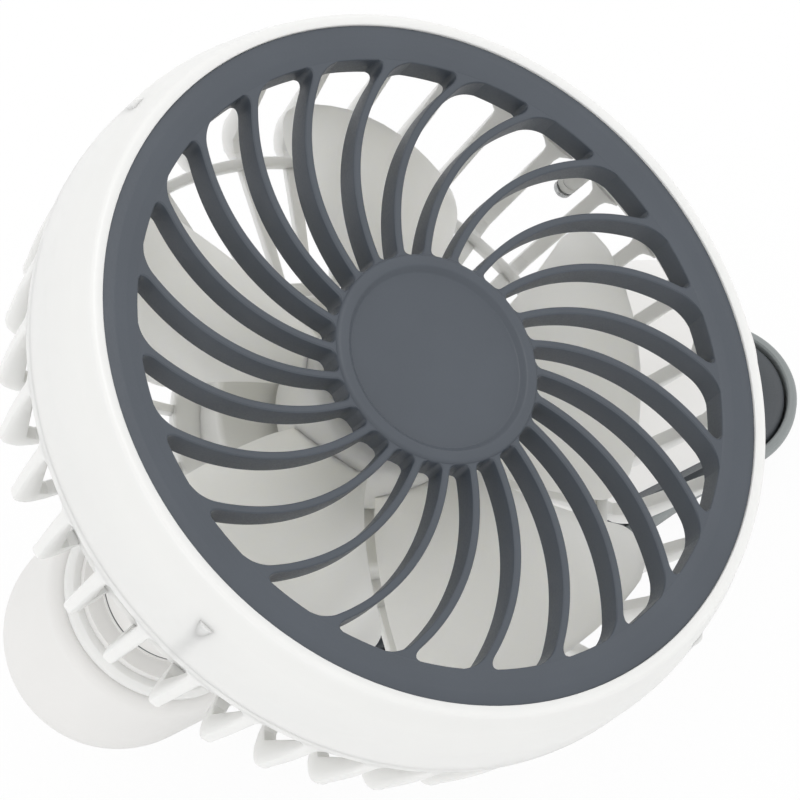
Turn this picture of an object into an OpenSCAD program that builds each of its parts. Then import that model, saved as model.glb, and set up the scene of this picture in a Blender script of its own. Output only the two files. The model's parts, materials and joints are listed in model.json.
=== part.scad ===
// Portable clip-on camping fan. The head sits on a swivel neck, the neck on a
// turning knuckle at one end of a battery base, and a sprung clip closes under the base.
// Base lies along X, +Z is up, and the origin is on the table under the clip.

/* [Head] */
// Outside diameter of the white bezel, measured at its back edge
head_od = 132; // [124:1:140]
// How much smaller the bezel is at its front lip
bezel_taper = 1.2; // [0:0.2:3]
// Length of the bezel, front lip to its joint with the cage
bezel_depth = 18.5; // [16:0.5:22]
// Depth of the whole head, front lip to the back of the cage
head_depth = 46; // [44:0.5:52]
// Wall of the bezel
bezel_wall = 2.2; // [1.6:0.2:3]

/* [Front grille] */
// Outside diameter of the grey grille
grille_od = 125; // [118:0.5:125.5]
// Width of the grille's outer ring
grille_ring_w = 6.3; // [4:0.1:9]
// Diameter of the plain centre disc
disc_d = 39; // [30:1:46]
// Width of the raised lip around the centre disc
disc_lip = 3; // [1.5:0.5:5]
// Number of spiral ribs
rib_count = 24; // [16:1:30]
// Width of a rib
rib_w = 1.5; // [1:0.1:2.2]
// Front-to-back depth of a rib
rib_depth = 5.6; // [4:0.2:7]
// Angle a rib sweeps through from the disc to the ring
rib_sweep = 27; // [10:1:40]
// Share of the sweep that grows with the square of the way out
rib_curl = 0.31; // [0:0.01:0.6]

/* [Rear cage] */
// Number of bars around the cage
bar_count = 36; // [24:1:40]
// Width of the cage's solid band at its joint with the bezel
cage_band = 2; // [1.5:0.5:3]
// Thickness of a bar around the head
bar_t = 2.8; // [1.6:0.1:3]
// Thickness of a bar where it ends on the hub plate
bar_root = 1.5; // [1:0.1:1.6]
// Width of a bar's side leg, measured outwards
bar_w = 3.6; // [2.4:0.2:4]
// Radius of the hoop that ties the bars together
hoop_r = 54.5; // [48:0.5:57]
// Radius of the plate the bars end on
hub_plate_r = 31; // [29:0.5:36]
// Radius of the motor cup in the middle of the cage
cup_r = 26; // [24:0.5:28]
// Depth of the motor cup's front edge, behind the front lip
cup_front = 34; // [32:0.5:36]

/* [Impeller] */
// Number of blades
blade_count = 5; // [3:1:7]
// Diameter over the blade tips
impeller_d = 108; // [90:1:116]
// Diameter of the impeller's hub
rotor_hub_d = 32; // [28:1:40]
// Front face of the hub, behind the front lip
rotor_front = 12.5; // [11:0.5:15]
// Length of the hub
rotor_len = 19; // [16:0.5:20]
// Pitch angle of the blades
blade_pitch = 24; // [15:1:30]
// Thickness of a blade
blade_t = 1.6; // [1:0.2:2.4]
// Diameter of the motor shaft
shaft_d = 3; // [2:0.5:4]

/* [Motor] */
// Diameter of the motor can
motor_d = 27; // [22:1:30]
// Length of the motor can
motor_len = 18.5; // [14:0.5:19]
// Depth of the housing behind the cage
housing_depth = 13; // [11:0.5:15]
// Radius of the motor housing
housing_r = 25; // [22:0.5:28]

/* [Neck] */
// Height of the tilt pin above the knuckle's centre, along the neck
pin_h = 46; // [42:0.5:48]
// Height of the front lip above the knuckle's centre, along the neck
front_h = 117.8; // [116:0.2:124]
// Distance between the neck's axis and the head's axis
head_off = 12.9; // [8:0.1:16]
// Diameter of the neck stem
stem_d = 27; // [24:0.5:30]
// Diameter of the swivel collar
collar_d = 38.8; // [36:0.2:40]
// Diameter of the tilt pin
pin_d = 4; // [3:0.5:5]
// Radius of the ears around the tilt pin
ear_r = 8; // [6.5:0.5:9]
// Thickness of each fork ear
ear_t = 4; // [3:0.5:5]
// Width of the lug between the ears
lug_w = 10; // [8:0.5:12]

/* [Knuckle] */
// Outside radius of the knuckle and of the base
body_r = 21.5; // [20.5:0.5:24]
// Height of the knuckle's top above its centre, along the neck
barrel_h = 18.5; // [17:0.5:20]
// Length of the knuckle from its centre to the seam with the base
knuckle_len = 28; // [27:0.5:32]
// How far the neck leans in over the base
lean = 21.25; // [15:0.25:24]
// Where the knuckle is turned to, around the base
roll_rest = 17.05; // [0:0.05:30]
// Where the neck is turned to, around its own axis
swivel_rest = 24; // [0:0.5:30]
// Wall of the shells
shell_wall = 2.2; // [1.6:0.2:3]

/* [Base] */
// Distance between the knuckle's centre and the centre of the round end
base_len = 116.4; // [112:0.2:130]
// Height of the base's axis above the table
axis_z = 38.5; // [38:0.5:42]
// How far below the axis the two shells part
split_drop = 9; // [7:0.5:10]
// Width of the lower shell's foot, where the clip plate is fixed
foot_w = 26; // [20:1:28]
// Diameter of a battery cell
cell_d = 18.3; // [14:0.1:18.3]
// Length of a battery cell
cell_len = 65; // [50:1:66]
// Diameter of the power button
button_d = 9; // [7:0.5:11]
// Travel of the power button
button_travel = 0.8; // [0.5:0.1:1.2]

/* [Clip] */
// Radius of the clip plate's free end
plate_end_r = 12.6; // [10:0.2:13]
// Half width of the clip plate under the base
plate_mid_r = 15.3; // [14:0.1:16.5]
// Thickness of the clip plate
plate_t = 4.4; // [3.5:0.1:5]
// How far the free end's centre stands out past the round end's centre
plate_reach = 17.3; // [12:0.5:22]
// Width of the jaw's rim
rim_w = 2; // [1.5:0.1:2.6]
// Gap between the clip plate and the rim
rim_gap = 0.5; // [0.3:0.1:0.8]
// Thickness of the jaw's floor
jaw_floor = 2.6; // [2:0.2:3.2]
// Thickness of each rubber pad in the mouth
pad_t = 1.9; // [1.5:0.1:2.2]
// How far the rubber feet stand out under the jaw
foot_out = 0.6; // [0.4:0.1:1]
// Diameter of the clip's hinge pin
jaw_pin_d = 3; // [2.5:0.5:4]
// Wire diameter of the clip's spring
wire_d = 1.2; // [0.8:0.1:1.5]

/* [Hidden] */

$fn = 96;
run_fit = 0.05;        // radial clearance of pins, spigots and the button
seam = 0.3;            // gap between shells that turn against each other
slip = 0.1;            // gap around a piece that is placed into another

// head
head_r = head_od / 2;
lip_r = head_r - bezel_taper / 2;
grille_r = grille_od / 2;
ledge_z = -rib_depth;
open_r = grille_r - grille_ring_w;
disc_r = disc_d / 2;
boss_r = 2.2;
boss_place = head_r - bezel_wall - boss_r + 0.4;
band_z = -bezel_depth - cage_band;
lug_z = band_z - 0.2;                // back faces of the cage's screw lugs
cage_z = -head_depth;
plate_t_hub = 2.5;
plate_back = cage_z + 2.5;
shoulder_r = 3.5;
shoulder_in = 2.2;                   // how far the bars have leaned in at the shoulder
first_rib = 9.8;
first_bar = 3.3;
first_blade = 35.8;
housing_wall = 2;
housing_back = plate_back - housing_depth;
spigot_in = min(cup_r - 3.5, housing_r - 2.5);   // bore of the housing where it enters the motor cup
tilt_z = pin_h - front_h;
board_t = 1.2;
motor_back = housing_back + housing_wall + board_t + seam;
motor_front = motor_back + motor_len;
motor_r = motor_d / 2;
rotor_back = -rotor_front - rotor_len;
rotor_hub_r = rotor_hub_d / 2;
shaft_r = shaft_d / 2;

// neck and knuckle
stem_r = stem_d / 2;
collar_r = collar_d / 2;
pin_r = pin_d / 2;
lug_r = ear_r - 0.5;
ear_in = lug_w / 2 + 0.6;            // inner face of an ear, a washer's width from the lug
collar_h = 2.6;
collar_low = barrel_h + seam;
collar_top = collar_low + collar_h;
flange_r = collar_r - 2.4;
flange_top = collar_top + 1.6;
stem_top = pin_h - ear_r - 2;
spigot_r = 9;
roll_r = 7;
groove = 0.8;                        // depth of the retaining rings' grooves
ring_t = 1.2;                        // thickness of the retaining rings
knuckle_x = -85;
end_x = knuckle_x + base_len;
seam_x = knuckle_x + knuckle_len;
shell_in = body_r - shell_wall;
knuckle_top_in = barrel_h - 3;
neck_ring_z = knuckle_top_in - 0.1 - ring_t;
end_plate_t = 2.5;
bearing_t = 3;
roll_ring_x = knuckle_len + seam + bearing_t + 0.1;

// base
base_x0 = seam_x + seam;
cell_r = cell_d / 2;
cells_x = end_x - 2.4 - cell_len;
split_z = axis_z - split_drop;
main_board_z = axis_z + cell_r + 1.4;
board_top = main_board_z + 1.2;
button_x = seam_x + 17;
button_r = button_d / 2;
light_r = 1;
light_x = [for (i = [0:3]) seam_x + 31 + 4 * i];
port_l = 7.4;
port_w = 9;
port_h = 3.3;
port_x = end_x + 6.4;
foot_x0 = seam_x + 4;
clip_screw_x = [for (i = [0:2]) seam_x + 25 + 24 * i];
foot_x = [seam_x + 20, end_x - 4];
foot_y = [plate_mid_r + rim_gap + rim_w - 4, plate_end_r - 4];

// clip
floor_top = foot_out + jaw_floor;
plate_low = floor_top + 2 * pad_t + 0.2;
plate_top = plate_low + plate_t;
plate_end_x = end_x + plate_reach;
jaw_pin_x = seam_x + 10;
jaw_pin_r = jaw_pin_d / 2;
jaw_ear_r = jaw_pin_r + 1.6;
jaw_pin_z = floor_top + jaw_ear_r + 0.3;
plate_start = jaw_pin_x - 6;
mid_x = end_x - 26;
jaw_x0 = plate_start + 1;
pad_x0 = jaw_pin_x + 12;
coil_r = jaw_pin_r + wire_d / 2 + 0.3;   // middle of the spring's wire
coil_y = 4.4;
coil_turns = 4;
coil_reach = 4.6;

// ---------- places ----------
module at_knuckle() { translate([knuckle_x, 0, axis_z]) rotate([roll_rest, 0, 0]) children(); }
module at_neck() { at_knuckle() rotate([0, lean, 0]) rotate([0, 0, swivel_rest]) children(); }
module at_head() { at_neck() translate([head_off, 0, front_h]) children(); }
module along_x(x = 0, z = 0) { translate([x, 0, z]) rotate([0, 90, 0]) children(); }
module around(count, first = 0) { for (i = [0:count - 1]) rotate([0, 0, first + i * 360 / count]) children(); }
module rod(r, z0, z1) { translate([0, 0, z0]) cylinder(r = r, h = z1 - z0); }
module tube(r_out, r_in, z0, z1) {
    difference() {
        rod(r_out, z0, z1);
        rod(r_in, z0 - 1, z1 + 1);
    }
}
// A pan-head screw pointing down, the underside of its head at the origin
module screw(d, length) {
    difference() {
        union() {
            rod(d / 2, -length, 0.1);
            rod(d, 0, 0.6 * d);
        }
        for (turn = [0, 90]) rotate(turn) translate([0, 0, 0.6 * d]) cube([1.3 * d, 0.3 * d, 0.6 * d], center = true);
    }
}

// ---------- head ----------
// Angle of a rib's centre line at share t of the way from the disc to the ring
function rib_angle(t) = -rib_sweep * ((1 - rib_curl) * t + rib_curl * t * t);
function rib_r(t) = disc_r - 0.5 + t * (open_r - disc_r + 1);
function rib_point(t, side) =
    let (r = rib_r(t),
         slope = -rib_sweep * PI / 180 * ((1 - rib_curl) + 2 * rib_curl * t) * r / (open_r - disc_r + 1),
         a = rib_angle(t) + side * rib_w / 2 * sqrt(1 + slope * slope) / r * 180 / PI)
    [r * cos(a), r * sin(a)];
module rib(steps = 12) {
    polygon(concat([for (i = [0:steps]) rib_point(i / steps, -1)],
                   [for (i = [steps:-1:0]) rib_point(i / steps, 1)]));
}
module front_grille() {
    color("#5c646e") at_head() union() {
        rotate_extrude() polygon([
            [open_r, -rib_depth], [grille_r - 0.2, -rib_depth], [grille_r - 0.2, -0.9],
            [grille_r - 0.9, -0.2], [grille_r - 3, 0.1], [open_r + 1, -0.1], [open_r, -0.9]
        ]);
        rotate_extrude() polygon([
            [0, -2.6], [disc_r - 2, -2.6], [disc_r - 2, -rib_depth], [disc_r, -rib_depth],
            [disc_r, -0.5], [disc_r - 0.8, 0.3], [disc_r - disc_lip + 0.8, 0.2],
            [disc_r - disc_lip, -0.4], [0, -0.5]
        ]);
        translate([0, 0, -rib_depth]) linear_extrude(rib_depth - 0.3)
            for (i = [0:rib_count - 1]) rotate(first_rib + i * 360 / rib_count) rib();
    }
}

// The four screws of the cage stand midway between two bars
module cage_lugs() { around(4, first_bar + 8.5 * 360 / bar_count) translate([boss_place, 0, 0]) children(); }
module bezel() {
    color("#f2f2f0") at_head() difference() {
        union() {
            rotate_extrude() polygon([
                [grille_r, 0.3], [lip_r - 0.8, 0.4], [lip_r, -0.6], [head_r, -bezel_depth],
                [head_r - bezel_wall, -bezel_depth], [lip_r - bezel_wall, ledge_z - 3],
                [open_r + 3, ledge_z - 2], [open_r + 3, ledge_z], [grille_r, ledge_z]
            ]);
            cage_lugs() translate([-boss_r, -boss_r, -bezel_depth])
                cube([2 * boss_r, 2 * boss_r, bezel_depth + ledge_z - 1]);
        }
        cage_lugs() rod(0.91, -bezel_depth - 1, -bezel_depth + 7);
    }
}

// One bar of the cage: along the side, round the shoulder and in to the hub plate
module cage_bar() {
    r = head_r - shoulder_in - shoulder_r;
    inner_r = max(shoulder_r - bar_w, 0.3);
    arc = [for (a = [0:-15:-90]) [r + shoulder_r * cos(a), cage_z + shoulder_r + shoulder_r * sin(a)]];
    inner = [for (a = [-75:25:0]) [r + inner_r * cos(a), cage_z + shoulder_r + inner_r * sin(a)]];
    intersection() {
        rotate([90, 0, 0]) translate([0, 0, -bar_t / 2]) linear_extrude(bar_t) polygon(concat(
            [[head_r - 0.3, band_z + 0.5]], arc,
            [[hoop_r + 1, plate_back + 0.2], [hub_plate_r - 1, plate_back + 0.2],
             [hub_plate_r - 1, plate_back + plate_t_hub - 0.2], [hoop_r, plate_back + plate_t_hub - 0.2]],
            inner, [[head_r - bar_w + 0.3, band_z + 0.5]]));
        translate([0, 0, cage_z - 1]) linear_extrude(head_depth) polygon([
            [hub_plate_r - 3, -bar_root / 2], [head_r + 4, -bar_t / 2 - 0.4],
            [head_r + 4, bar_t / 2 + 0.4], [hub_plate_r - 3, bar_root / 2]
        ]);
    }
}
module rear_cage() {
    color("#f2f2f0") at_head() difference() {
        union() {
            tube(head_r, head_r - bezel_wall, band_z, -bezel_depth);
            cage_lugs() translate([-boss_r, -boss_r, lug_z]) cube([2 * boss_r + 0.8, 2 * boss_r, cage_band]);
            around(bar_count, first_bar) cage_bar();
            tube(hoop_r + 1, hoop_r - 1, plate_back + 1, plate_back + plate_t_hub + 0.6);
            tube(hub_plate_r, cup_r - 1, plate_back, plate_back + plate_t_hub);
            tube(cup_r, cup_r - 1.8, plate_back, -cup_front);
            tube(cup_r - 1, motor_r + slip, -cup_front - 2, -cup_front);
        }
        cage_lugs() rod(1.3, band_z - 1, -bezel_depth + 1);
        around(4) translate([housing_r + 2.5, 0, 0]) rod(0.91, plate_back - 1, plate_back + 4);
    }
}
module cage_screws() {
    color("#9a9c9e") at_head() cage_lugs() translate([0, 0, lug_z]) rotate([180, 0, 0]) screw(1.8, 7);
}

module motor_housing() {
    color("#eeeeec") at_head() difference() {
        union() {
            rotate_extrude() polygon([
                [0, housing_back], [housing_r - 3, housing_back], [housing_r - 0.9, housing_back + 0.9],
                [housing_r, housing_back + 3], [housing_r, plate_back - 1.8],
                [housing_r + 5, plate_back - 1.8], [housing_r + 5, plate_back],
                [cup_r - 1.8 - slip, plate_back], [cup_r - 1.8 - slip, plate_back + 3],
                [spigot_in, plate_back + 3], [spigot_in, plate_back - 2.5],
                [housing_r - 2.5, plate_back - 3], [housing_r - 2.5, housing_back + housing_wall],
                [0, housing_back + housing_wall]
            ]);
            tube(motor_r + 1.7, motor_r + slip, housing_back + housing_wall - 0.5, plate_back + 4);
            translate([-head_off, 0, tilt_z]) rotate([90, 0, 0]) translate([0, 0, -lug_w / 2]) {
                cylinder(r = lug_r, h = lug_w);
                linear_extrude(lug_w) polygon([
                    [-lug_r, 0], [lug_r, 0], [lug_r + 6, housing_back - tilt_z + 1],
                    [-lug_r + 1, housing_back - tilt_z + 1]
                ]);
            }
        }
        translate([-head_off, 0, tilt_z]) rotate([90, 0, 0]) rod(pin_r + run_fit, -lug_w, lug_w);
        around(4) translate([housing_r + 2.5, 0, 0]) rod(1.2, plate_back - 3, plate_back + 1);
    }
}
module housing_screws() {
    color("#9a9c9e") at_head() around(4) translate([housing_r + 2.5, 0, plate_back - 1.8])
        rotate([180, 0, 0]) screw(1.8, 3.8);
}
module motor_can() {
    color("#b9bcc0") at_head() difference() {
        rod(motor_r, motor_back, motor_front);
        rod(motor_r - 1.2, motor_back + 1.5, motor_front - 1.5);
        rod(shaft_r + 1.61, motor_front - 2, motor_front + 1);
        rod(shaft_r + run_fit, motor_back - 1, motor_back + 2);
    }
}
module motor_magnets() {
    color("#3c3d40") at_head() for (side = [0, 180]) rotate(side) intersection() {
        tube(motor_r - 1.2, motor_r - 2.8, motor_back + 2.5, motor_front - 2.5);
        translate([0, -motor_r * 0.75, motor_back]) cube([motor_r, motor_r * 1.5, motor_len]);
    }
}
module motor_bushing() {
    color("#c69a4c") at_head() tube(shaft_r + 1.6, shaft_r + run_fit, motor_front - 1.5, motor_front + 1);
}
module motor_board() {
    color("#2f7a4b") at_head() tube(motor_r - 1, shaft_r + 2, motor_back - seam - board_t, motor_back - seam);
}

// ---------- rotor ----------
module blade() {
    tip = impeller_d / 2;
    root = rotor_hub_r - 1;
    half = 27;
    intersection() {
        rotate([blade_pitch, 0, 0]) translate([root, -tip, -blade_t / 2]) cube([tip, 2 * tip, blade_t]);
        translate([0, 0, -rotor_len]) linear_extrude(2 * rotor_len) polygon(concat(
            [[root * cos(half), -root * sin(half)]],
            [for (a = [-half:6:half]) [tip * cos(a), tip * sin(a)]],
            [[root * cos(half), root * sin(half)]]));
    }
}
module impeller() {
    color("#d9dad4") at_head() difference() {
        union() {
            rotate_extrude() polygon([
                [shaft_r + 2.5, -rotor_front], [rotor_hub_r - 5, -rotor_front],
                [rotor_hub_r, -rotor_front - 5], [rotor_hub_r, rotor_back],
                [rotor_hub_r - 1.8, rotor_back], [rotor_hub_r - 1.8, -rotor_front - 4],
                [shaft_r + 2.5, -rotor_front - 2]
            ]);
            rod(shaft_r + 3, rotor_back + 1, -rotor_front);
            translate([0, 0, -rotor_front - rotor_len / 2]) around(blade_count, first_blade) blade();
        }
        rod(shaft_r + 0.01, rotor_back - 1, 0);
    }
}
module rotor_shaft() {
    color("#c4c6c8") at_head() rod(shaft_r, motor_back + 0.2, -rotor_front + 1.5);
}
module armature() {
    color("#b8733a") at_head() tube(motor_r - 3.6, shaft_r + 0.01, motor_back + 4, motor_front - 4);
}
module shaft_nut() {
    color("#b9bcc0") at_head() translate([0, 0, -rotor_front]) difference() {
        cylinder(r = shaft_r + 2, h = 1.8, $fn = 6);
        translate([0, 0, -1]) cylinder(r = shaft_r + 0.01, h = 4);
    }
}

// ---------- neck ----------
module neck_stem() {
    color("#f0f0ee") at_neck() difference() {
        union() {
            rod(spigot_r, neck_ring_z - 1.2, collar_top + 0.1);
            rod(flange_r, collar_top, flange_top);
            rotate_extrude() polygon([
                [0, flange_top - 0.1], [stem_r, flange_top - 0.1], [stem_r, stem_top - 4],
                [stem_r - 3, stem_top], [0, stem_top]
            ]);
            for (side = [-1, 1]) translate([0, side * (ear_in + ear_t / 2), 0])
                rotate([90, 0, 0]) translate([0, 0, -ear_t / 2]) {
                    translate([0, pin_h, 0]) cylinder(r = ear_r, h = ear_t);
                    translate([-ear_r, stem_top - 4, 0]) cube([2 * ear_r, pin_h - stem_top + 4, ear_t]);
                }
        }
        rotate([90, 0, 0]) translate([0, pin_h, 0]) rod(pin_r + 0.01, -20, 20);
        tube(spigot_r + 1, spigot_r - groove, neck_ring_z, neck_ring_z + ring_t);
        rod(3, 0, stem_top + 1);
        tube(stem_r + 1, stem_r - 0.6, flange_top + 0.8, flange_top + 1.3);
    }
}
module neck_seam_ring() {
    color("#3a3c40") at_neck() tube(stem_r - 0.1, stem_r - 0.6, flange_top + 0.8, flange_top + 1.3);
}
module swivel_collar() {
    color("#f4f4f2") at_neck() rotate_extrude() polygon([
        [spigot_r + run_fit, collar_low], [collar_r, collar_low], [collar_r, collar_low + 1.2],
        [collar_r - 0.9, collar_top], [spigot_r + run_fit, collar_top]
    ]);
}
module neck_clip_ring() {
    color("#a9abae") at_neck() tube(spigot_r + 1.8, spigot_r - groove, neck_ring_z, neck_ring_z + ring_t);
}
module tilt_pin() {
    color("#9a9c9e") at_neck() translate([0, 0, pin_h]) rotate([90, 0, 0]) {
        rod(pin_r, -ear_in - ear_t - 2.6, ear_in + ear_t + 0.2);
        rod(pin_r + 1.8, ear_in + ear_t, ear_in + ear_t + 2.2);
    }
}
module tilt_nut() {
    color("#9a9c9e") at_neck() translate([0, 0, pin_h]) rotate([90, 0, 0])
        translate([0, 0, -ear_in - ear_t - 2.2]) difference() {
            cylinder(r = pin_r + 2.2, h = 2.2, $fn = 6);
            translate([0, 0, -1]) cylinder(r = pin_r + 0.01, h = 5);
        }
}
module tilt_washers() {
    color("#2d2f31") at_neck() translate([0, 0, pin_h]) rotate([90, 0, 0]) for (side = [-1, 1])
        translate([0, 0, side * (ear_in - 0.3)]) tube(lug_r - 1, pin_r + 0.01, -0.25, 0.25);
}

// ---------- knuckle ----------
// A round-ended arm along X and a barrel along the neck, cut level under the collar
module knuckle_form(r, top, length) {
    intersection() {
        union() {
            rotate([0, 90, 0]) rotate_extrude() polygon(concat(
                [for (a = [-90:5:0]) [r * cos(a), r * sin(a)]], [[r, length], [0, length]]));
            rotate([0, lean, 0]) rotate_extrude() polygon([
                [0, 0], [r - 0.1, 0], [r - 0.1, top - 3], [r - 0.5, top - 1.6], [r - 1.4, top - 0.5],
                [r - 2.4, top], [0, top]
            ]);
        }
        rotate([0, lean, 0]) translate([-60, -60, top - 120]) cube(120);
    }
}
module knuckle_shell() {
    color("#f1f1ef") at_knuckle() difference() {
        union() {
            difference() {
                knuckle_form(body_r, barrel_h, knuckle_len);
                knuckle_form(shell_in, knuckle_top_in, knuckle_len + 1);
            }
            for (a = [-75, 0, 75]) rotate([a, 0, 0]) translate([0, 0, -shell_in + 2.5])
                along_x() rod(3, knuckle_len - 10, knuckle_len - end_plate_t);
        }
        for (a = [-75, 0, 75]) rotate([a, 0, 0]) translate([0, 0, -shell_in + 2.5])
            along_x() rod(1.01, knuckle_len - 9, knuckle_len);
        rotate([0, lean, 0]) rod(spigot_r + run_fit, 5, barrel_h + 1);
    }
}
module knuckle_plate() {
    color("#e8e8e6") at_knuckle() difference() {
        union() {
            intersection() {
                along_x() rod(shell_in - slip, knuckle_len - end_plate_t, knuckle_len);
                rotate([0, lean, 0]) translate([-60, -60, knuckle_top_in - slip - 120]) cube(120);
            }
            along_x() rod(roll_r, knuckle_len, roll_ring_x + ring_t + 1.7);
        }
        along_x() rod(3.5, 0, 60);
        along_x() tube(roll_r + 1, roll_r - groove, roll_ring_x, roll_ring_x + ring_t);
        for (a = [-75, 0, 75]) rotate([a, 0, 0]) translate([0, 0, -shell_in + 2.5]) along_x() {
            rod(1.1, 20, 40);
            rod(2.05, knuckle_len - 1.3, 40);
        }
    }
}
module knuckle_screws() {
    color("#9a9c9e") at_knuckle() for (a = [-75, 0, 75]) rotate([a, 0, 0])
        translate([knuckle_len - 1.3, 0, -shell_in + 2.5]) rotate([0, 90, 0]) screw(2, 7);
}
module roll_clip_ring() {
    color("#a9abae") at_knuckle()
        along_x() tube(roll_r + 1.8, roll_r - groove, roll_ring_x, roll_ring_x + ring_t);
}

// ---------- base ----------
// The base's form: a cylinder along X with a round end
module capsule(r, x0) {
    translate([x0, 0, axis_z]) rotate([0, 90, 0]) rotate_extrude() polygon(concat(
        [[0, 0], [r, 0]], [for (a = [0:5:85]) [r * cos(a), end_x - x0 + r * sin(a)]], [[0, end_x - x0 + r]]));
}
module slab(z0, z1) { translate([-150, -60, z0]) cube([300, 120, z1 - z0]); }
// Children on both sides of the case at both ends
module case_places() {
    for (x = [seam_x + 8, end_x + 4.6], side = [-1, 1]) translate([x, side * 10.5, split_z])
        rotate(side * 90) children();
}
module upper_shell() {
    color("#f3f3f1") difference() {
        union() {
            difference() {
                intersection() {
                    capsule(body_r, base_x0);
                    slab(split_z, axis_z + 60);
                }
                capsule(shell_in, base_x0 - 1);
            }
            intersection() {
                capsule(body_r - 1, base_x0);
                case_places() {
                    rod(3.2, 0, 6);
                    translate([0, -1, 0]) cube([12, 2, 6]);
                }
            }
        }
        case_places() rod(1.01, -1, 5);
        translate([button_x, 0, axis_z]) rod(button_r + run_fit, 0, 40);
        for (x = light_x) translate([x, 0, axis_z]) rod(light_r + run_fit, 0, 40);
        translate([port_x + 3, -port_w / 2 - 0.3, board_top - 0.3]) cube([20, port_w + 0.6, port_h + 0.6]);
    }
}
module lower_shell() {
    color("#4a4e52") difference() {
        union() {
            difference() {
                union() {
                    intersection() {
                        capsule(body_r, base_x0);
                        slab(axis_z - 60, split_z);
                    }
                    translate([foot_x0, -foot_w / 2, plate_top])
                        cube([end_x + 1.6 - foot_x0, foot_w, axis_z - body_r * 0.7 - plate_top]);
                }
                capsule(shell_in, base_x0 - 1);
            }
            intersection() {
                capsule(body_r - 1, base_x0);
                case_places() {
                    rod(3.2, -14, 0);
                    translate([0, -1, -6]) cube([12, 2, 6]);
                }
            }
        }
        case_places() {
            rod(1.2, -20, 1);
            rod(2.2, -60, -4);
        }
        for (x = clip_screw_x) translate([x, 0, 0]) rod(1.01, plate_top - 1, plate_top + 5);
    }
}
module case_screws() {
    color("#9a9c9e") case_places() translate([0, 0, -4]) rotate([180, 0, 0]) screw(2, 8);
}
module bearing_plate() {
    color("#e9e9e7") along_x(base_x0, axis_z) tube(shell_in - slip, roll_r + run_fit, 0, bearing_t);
}
module battery_cells() {
    color("#3f6fae") for (side = [-1, 1]) translate([0, side * (cell_r + 0.15), 0])
        along_x(cells_x, axis_z) {
            rod(cell_r, 0, cell_len - 1);
            rod(3.5, cell_len - 1, cell_len);
        }
}
module cell_strips() {
    color("#c9ccd0") for (x = [cells_x - 0.5, cells_x + cell_len])
        translate([x, -cell_r - 3, axis_z - 3]) cube([0.5, 2 * cell_r + 6, main_board_z - axis_z + 3]);
}
module cell_cradle() {
    color("#8c9094") difference() {
        intersection() {
            capsule(shell_in - slip, base_x0);
            union() {
                for (x = [cells_x + 6, cells_x + cell_len - 12])
                    translate([x, -25, axis_z - 25]) cube([5, 50, 25 - split_drop + 4]);
                translate([cells_x + 4, -6, axis_z - 25]) cube([cell_len - 8, 12, 8.5]);
            }
        }
        for (side = [-1, 1]) translate([0, side * (cell_r + 0.15), 0])
            along_x(cells_x - 5, axis_z) rod(cell_r + slip / 2, 0, cell_len + 10);
    }
}
module main_board() {
    color("#2f7a4b") translate([0, 0, main_board_z]) {
        translate([seam_x + 11.5, -13, 0]) cube([end_x - seam_x - 14, 26, 1.2]);
        translate([end_x - 3, -6, 0]) cube([14.5, 12, 1.2]);
    }
}
module usb_port() {
    color("#aeb1b4") difference() {
        translate([port_x, -port_w / 2, board_top]) cube([port_l, port_w, port_h]);
        translate([port_x + 0.6, -port_w / 2 + 0.3, board_top + 0.3]) cube([port_l, port_w - 0.6, port_h - 0.6]);
    }
    color("#2b2c2e") translate([port_x + 0.6, -port_w / 2 + 1.2, board_top + port_h / 2 - 0.35])
        cube([port_l - 1.2, port_w - 2.4, 0.7]);
}
module charge_lights() {
    color("#cfe8f2") for (x = light_x) translate([x, 0, 0]) rod(light_r, board_top, axis_z + body_r + 0.05);
}
module button_switch() {
    color("#3a3c40") translate([button_x, 0, board_top]) {
        translate([-3, -3, 0]) cube([6, 6, 3]);
        rod(1.6, 3, 3.5);
    }
}
module power_button() {
    color("#5c646e") translate([button_x, 0, 0]) {
        rod(button_r, axis_z + shell_in - 1.7, axis_z + body_r + button_travel);
        rod(button_r + 0.9, axis_z + shell_in - 1.8, axis_z + shell_in - 0.9);
        rod(1.5, board_top + 3.5 + button_travel + 0.3, axis_z + shell_in - 1.6);
    }
}

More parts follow.
